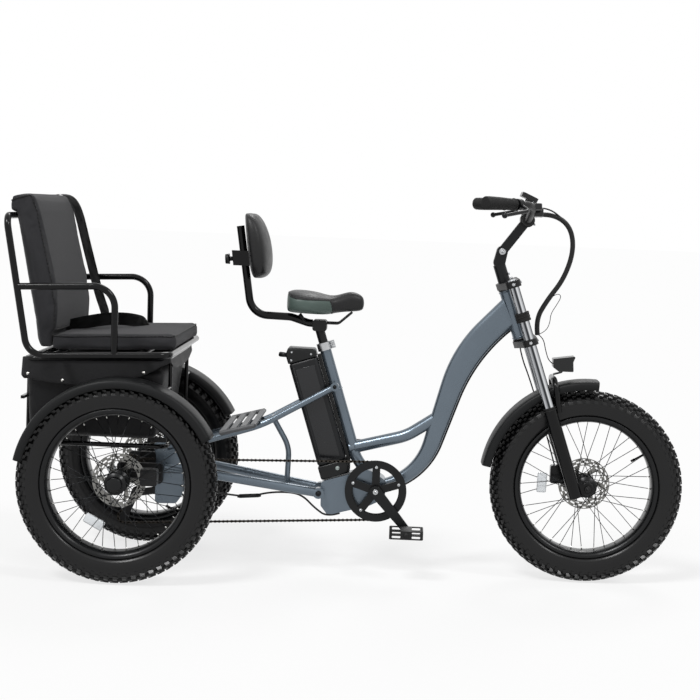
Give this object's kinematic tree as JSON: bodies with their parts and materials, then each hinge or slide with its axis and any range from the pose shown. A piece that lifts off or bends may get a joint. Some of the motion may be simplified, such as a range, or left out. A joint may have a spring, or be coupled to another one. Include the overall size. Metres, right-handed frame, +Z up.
{
  "type": "electric passenger tricycle",
  "caption": "Pedal-assist delta tricycle with a swan-neck frame, fat tyres, suspension fork, rider saddle with backrest and a padded rear passenger seat over a bag.",
  "frame": {"origin": "on the floor under the middle of the whole vehicle", "axes": "+X forward, +Y to the rider's left, +Z up"},
  "size_m": [2.0524, 0.771, 1.1979],
  "materials": {
    "frame_paint": "metallic slate grey-blue paint",
    "black_metal": "gloss black powder coat",
    "battery_case": "black case",
    "bare_alloy": "brushed",
    "seat_fabric": "charcoal woven",
    "webbing": "black webbing",
    "bag_fabric": "black coated fabric",
    "fender_plastic": "satin dark grey",
    "rest_metal": "satin grey",
    "steel": "plain",
    "polished_tube": "polished",
    "black_rubber": "matt",
    "housing_plastic": "gloss black",
    "tyre_rubber": "matt",
    "saddle_cover": "synthetic leather"
  },
  "bodies": {
    "chassis": {"main_frame": "frame_paint", "rear_frame": "frame_paint", "rear_axle": "black_metal", "battery": "battery_case", "battery_rail": "black_metal", "seat_clamp": "bare_alloy", "passenger_frame": "black_metal", "seat_cushion": "seat_fabric", "back_cushion": "seat_fabric", "seat_belt": "webbing", "rack": "black_metal", "storage_bag": "bag_fabric", "fender_right": "fender_plastic", "fender_left": "fender_plastic", "footrest": "rest_metal", "chain": "steel", "derailleur": "black_metal", "frame_cable": "black_rubber"},
    "rider_seat": {"seat_post": "black_metal", "saddle": "saddle_cover", "backrest_tube": "black_metal", "backrest_pad": "saddle_cover"},
    "steering": {"fork_crowns": "black_metal", "stanchions": "polished_tube", "bump_stops": "black_rubber", "fork_lowers": "black_metal", "stem": "black_metal", "handlebar": "black_metal", "grips": "black_rubber", "brake_levers": "black_metal", "display": "housing_plastic", "headlight": "housing_plastic", "front_fender": "fender_plastic", "cable_bundle": "black_rubber"},
    "front_wheel": {"tyre_front": "tyre_rubber", "wheel_front": "black_metal", "rotor_front": "steel"},
    "rear_wheel_right": {"tyre_rear_right": "tyre_rubber", "wheel_rear_right": "black_metal", "rotor_rear_right": "steel"},
    "rear_wheel_left": {"tyre_rear_left": "tyre_rubber", "wheel_rear_left": "black_metal", "rotor_rear_left": "steel"},
    "cogs": {"cog_stack": "steel"},
    "crank": {"chainring": "black_metal", "crank_arms": "black_metal"},
    "pedal_right": {"pedal_right": "bare_alloy"},
    "pedal_left": {"pedal_left": "bare_alloy"}
  },
  "joints": [
    {"name": "steering_turn", "type": "hinge", "parent": "chassis", "child": "steering", "pos_m": [0.48618, 0, 0.81153], "axis": [-0.3256, 0, 0.9455], "range_deg": [-40, 40]},
    {"name": "front_wheel_spin", "type": "hinge", "parent": "steering", "child": "front_wheel", "pos_m": [0.72875, 0, 0.2975], "axis": [0, 1, 0], "continuous": true},
    {"name": "rear_wheel_right_spin", "type": "hinge", "parent": "chassis", "child": "rear_wheel_right", "pos_m": [-0.67925, -0.3275, 0.2975], "axis": [0, 1, 0], "continuous": true},
    {"name": "rear_wheel_left_spin", "type": "hinge", "parent": "chassis", "child": "rear_wheel_left", "pos_m": [-0.67925, 0.3275, 0.2975], "axis": [0, 1, 0], "continuous": true},
    {"name": "crank_turn", "type": "hinge", "parent": "chassis", "child": "crank", "pos_m": [0.07975, 0, 0.263], "axis": [0, 1, 0], "continuous": true},
    {"name": "pedal_right_turn", "type": "hinge", "parent": "crank", "child": "pedal_right", "pos_m": [0.17816, -0.138, 0.14979], "axis": [0, 1, 0], "continuous": true},
    {"name": "pedal_left_turn", "type": "hinge", "parent": "crank", "child": "pedal_left", "pos_m": [-0.01866, 0.138, 0.37621], "axis": [0, 1, 0], "continuous": true},
    {"name": "cogs_turn", "type": "hinge", "parent": "chassis", "child": "cogs", "pos_m": [-0.67925, -0.05, 0.2975], "axis": [0, 1, 0], "continuous": true},
    {"name": "saddle_height", "type": "slide", "parent": "chassis", "child": "rider_seat", "axis": [-0.309, 0, 0.9511], "range_m": [-0.02, 0.1]}
  ],
  "couplings": [
    {"joint": "cogs_turn", "follows": "crank_turn", "ratio": 3.1429}
  ]
}
